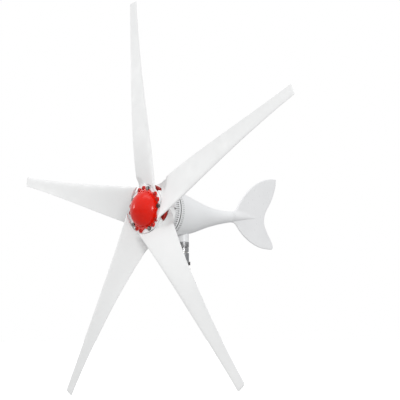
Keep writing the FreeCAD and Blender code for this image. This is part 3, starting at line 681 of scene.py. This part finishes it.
# ---------------------------------------------------------------- tail fin
FIN_FRONT = 345.0             # millimetres behind the blade tips' plane
FIN_BACK = 551.0
UPPER_EDGE = [(345, 24.4), (354, 25.2), (364, 28.2), (372, 33.5), (381, 49), (406, 79), (443, 111),
              (485, 133), (524, 143), (550, 144.8)]
UPPER_BACK = [(550, 144.8), (545, 115), (528, 76), (504, 41), (494, 18), (494, -5), (509, -32), (524, -53),
              (532, -72)]
LOWER_EDGE = [(532, -72), (527, -78.5), (512, -79.3), (476, -77), (439, -66), (409, -50), (387, -33),
              (371, -16), (360, -9.2), (345, -8.4)]
CREASE = [(345, -8.4), (356, -5.2), (376, -1.5), (397, 2.3), (417, 6.2), (440, 9.6), (458, 12.0)]
RIDGE_MIDDLE = [(345, 8.0), (376, 9.6), (400, 10.4), (458, 12.6)]
RIDGE_WIDTH = [(345, 16.4), (356, 13.6), (376, 9.8), (397, 7.4), (417, 5.2), (440, 3.4), (458, 2.2)]
RIDGE_REACH = [(345, 16.4), (362, 19.0), (385, 26.0), (412, 24.0), (440, 14.0), (458, 5.0)]
RIDGE_END = 462               # the ridge has faded out here
RIDGE_FADE = 14.0
PLATE_HALF = 3.0              # half the plate's thickness at the body, less by PLATE_TAPER at its back
PLATE_TAPER = 1.1
FAIR_LENGTH = 34.0            # the ridge's round top has become a faired one this far behind the body
RIM_ROUND = 2.4
ON_EDGE = 0.01                # closer than this counts as on the outline
ON_RIM = 0.02                 # half thickness below which the two sides share a point
GRID = 3.4
RIM_CLEAR = 0.8               # the grid keeps this far inside the rounded rim
RIM_ROWS = (0.15, 0.5, 1.1, RIM_ROUND)
CREASE_ROWS = (-0.9, -0.15, 0.1, 0.5, 1.3, 2.6)
CREASE_SPACING = 2.6
CREASE_BAND_MIDDLE = 0.8      # the grid leaves this band to the crease's own rows
CREASE_BAND_HALF = 2.4


def table_value(table, at):
    return np.interp(at, [point[0] for point in table], [point[1] for point in table])


def curve_through(points, spacing=2.0):
    """Points along a Catmull-Rom curve through given ones."""
    made = []
    last = len(points) - 1
    for index in range(last):
        before = Vector(points[max(index - 1, 0)])
        start = Vector(points[index])
        end = Vector(points[index + 1])
        after = Vector(points[min(index + 2, last)])
        count = max(2, int((end - start).length / spacing))
        for step in range(count):
            t = step / count
            made.append(0.5 * (2 * start + (end - before) * t
                               + (2 * before - 5 * start + 4 * end - after) * t * t
                               + (3 * start - before - 3 * end + after) * t ** 3))
    return [(point.x, point.y) for point in made]


def fin_outline():
    outline = curve_through(UPPER_EDGE) + curve_through(UPPER_BACK) + curve_through(LOWER_EDGE)
    outline.append(LOWER_EDGE[-1])
    root_steps = 12
    for step in range(1, root_steps):
        share = step / root_steps
        outline.append((FIN_FRONT, LOWER_EDGE[-1][1] + (UPPER_EDGE[0][1] - LOWER_EDGE[-1][1]) * share))
    return outline


def distance_to_edge(points, outline):
    """Distance of each point from the outline, its straight front where it joins the body left out."""
    a = np.array(outline)
    b = np.roll(a, -1, axis=0)
    kept = ~((a[:, 0] <= FIN_FRONT + ON_EDGE) & (b[:, 0] <= FIN_FRONT + ON_EDGE))
    nearest = np.full(len(points), 1e9)
    for start, end in zip(a[kept], b[kept]):
        along = end - start
        share = np.clip(((points - start) @ along) / (along @ along), 0, 1)
        nearest = np.minimum(nearest, np.hypot(*(points - start - share[:, None] * along).T))
    return nearest


def inside(points, outline):
    """Even-odd test of each point against the outline."""
    a = np.array(outline)
    b = np.roll(a, -1, axis=0)
    found = np.zeros(len(points), bool)
    for (x0, y0), (x1, y1) in zip(a, b):
        crosses = (y0 > points[:, 1]) != (y1 > points[:, 1])
        reach = (x1 - x0) * (points[:, 1] - y0) / (y1 - y0 if y1 != y0 else 1e-9) + x0
        found ^= crosses & (points[:, 0] < reach)
    return found


def fin_half_thickness(points, edge_distance):
    """Plate with a rounded rim, and a ridge that is sharp below and fairs into the plate above."""
    aft = points[:, 0]
    high = points[:, 1]
    left = 1 - np.clip(edge_distance / RIM_ROUND, 0, 1)
    plate = PLATE_HALF - PLATE_TAPER * (aft - FIN_FRONT) / (FIN_BACK - FIN_FRONT)
    plate = plate * np.sqrt(1 - left ** 2)
    middle = table_value(RIDGE_MIDDLE, aft)
    width = table_value(RIDGE_WIDTH, aft)
    drop = (middle - high) / (middle - table_value(CREASE, aft))
    reach = np.minimum(table_value(RIDGE_REACH, aft), table_value(UPPER_EDGE[:5], aft) - middle)
    rise = (high - middle) / np.where(aft < UPPER_EDGE[4][0], reach, table_value(RIDGE_REACH, aft))
    below = width * np.sqrt(np.clip(1 - np.clip(drop, 0, 1) ** 2, 0, 1))
    round_top = np.sqrt(np.clip(1 - np.clip(rise, 0, 1) ** 2, 0, 1))
    fair_top = (1 - np.clip(rise, 0, 1) ** 2) ** 2
    change = np.clip((aft - FIN_FRONT) / FAIR_LENGTH, 0, 1)
    change = change * change * (3 - 2 * change)
    above = width * (round_top * (1 - change) + fair_top * change)
    ridge = np.where(high < middle, below, above)
    ridge = ridge * np.clip((RIDGE_END - aft) / RIDGE_FADE, 0, 1) ** 0.5
    plate = np.where(aft <= FIN_FRONT + ON_EDGE, 0.0, plate)
    half = (plate ** 4 + ridge ** 4) ** 0.25
    return np.where(edge_distance < ON_EDGE, 0.0, half)


def fin_points(outline):
    """Inner points: a grid, rows that follow the rounded rim, and rows along the ridge's crease."""
    low = np.array(outline).min(0)
    high = np.array(outline).max(0)
    columns = np.arange(low[0] + GRID, high[0], GRID)
    grid = np.array([(x, z) for x in columns for z in np.arange(low[1], high[1], GRID)])
    crease_gap = grid[:, 1] - table_value(CREASE, grid[:, 0])
    near_crease = np.abs(crease_gap - CREASE_BAND_MIDDLE) < CREASE_BAND_HALF
    near_crease &= grid[:, 0] < CREASE[-1][0]
    off_rim = distance_to_edge(grid, outline) > RIM_ROUND + RIM_CLEAR
    rows = [grid[inside(grid, outline) & off_rim & ~near_crease]]
    ring = np.array(outline)
    ahead = np.roll(ring, -1, axis=0) - np.roll(ring, 1, axis=0)
    normal = np.stack([ahead[:, 1], -ahead[:, 0]], 1) / np.hypot(*ahead.T)[:, None]
    for inset in RIM_ROWS:
        row = ring + normal * inset
        good = inside(row, outline) & (distance_to_edge(row, outline) > inset * 0.9)
        rows.append(row[good & (row[:, 0] > FIN_FRONT + 1)])
    for offset in CREASE_ROWS:
        aft = np.arange(FIN_FRONT + 2.0, CREASE[-1][0], CREASE_SPACING)
        row = np.stack([aft, table_value(CREASE, aft) + offset], 1)
        rows.append(row[inside(row, outline) & (distance_to_edge(row, outline) > RIM_ROUND)])
    return np.concatenate(rows)


def add_tail_fin(finishes):
    outline = fin_outline()
    inner = fin_points(outline)
    flat = [Vector(point) for point in outline] + [Vector(point) for point in inner]
    edges = [(index, (index + 1) % len(outline)) for index in range(len(outline))]
    points, _, triangles, _, _, _ = delaunay_2d_cdt(flat, edges, [], 1, 1e-5)
    spots = np.array([(point.x, point.y) for point in points])
    half = fin_half_thickness(spots, distance_to_edge(spots, outline))
    rim = half < ON_RIM
    vertices = []
    right = []
    left = []
    for (aft, high), thick, on_rim in zip(spots, half, rim):
        right.append(len(vertices))
        vertices.append(from_rotor(0.0 if on_rim else thick, aft, high))
        if not on_rim:
            vertices.append(from_rotor(-thick, aft, high))
        left.append(len(vertices) - 1)
    faces = []
    for corners in triangles:
        faces.append(tuple(right[corner] for corner in corners))
        faces.append(tuple(left[corner] for corner in reversed(corners)))
    root = sorted((high, index) for index, (aft, high) in enumerate(spots)
                  if aft <= FIN_FRONT + ON_EDGE)
    for (_, below), (_, above) in zip(root, root[1:]):
        faces.append(tuple(dict.fromkeys((right[below], left[below], left[above], right[above]))))
    new_piece("faired_tail_fin", vertices, faces, "nacelle", "fin_white", finishes, "tail_fin",
              sharp_degrees=55.0)


add_camera()
add_floor()
add_studio_light()
slot_finishes = all_finishes()
dress_cad_nodes(slot_finishes)
add_blades(slot_finishes)
add_tail_fin(slot_finishes)
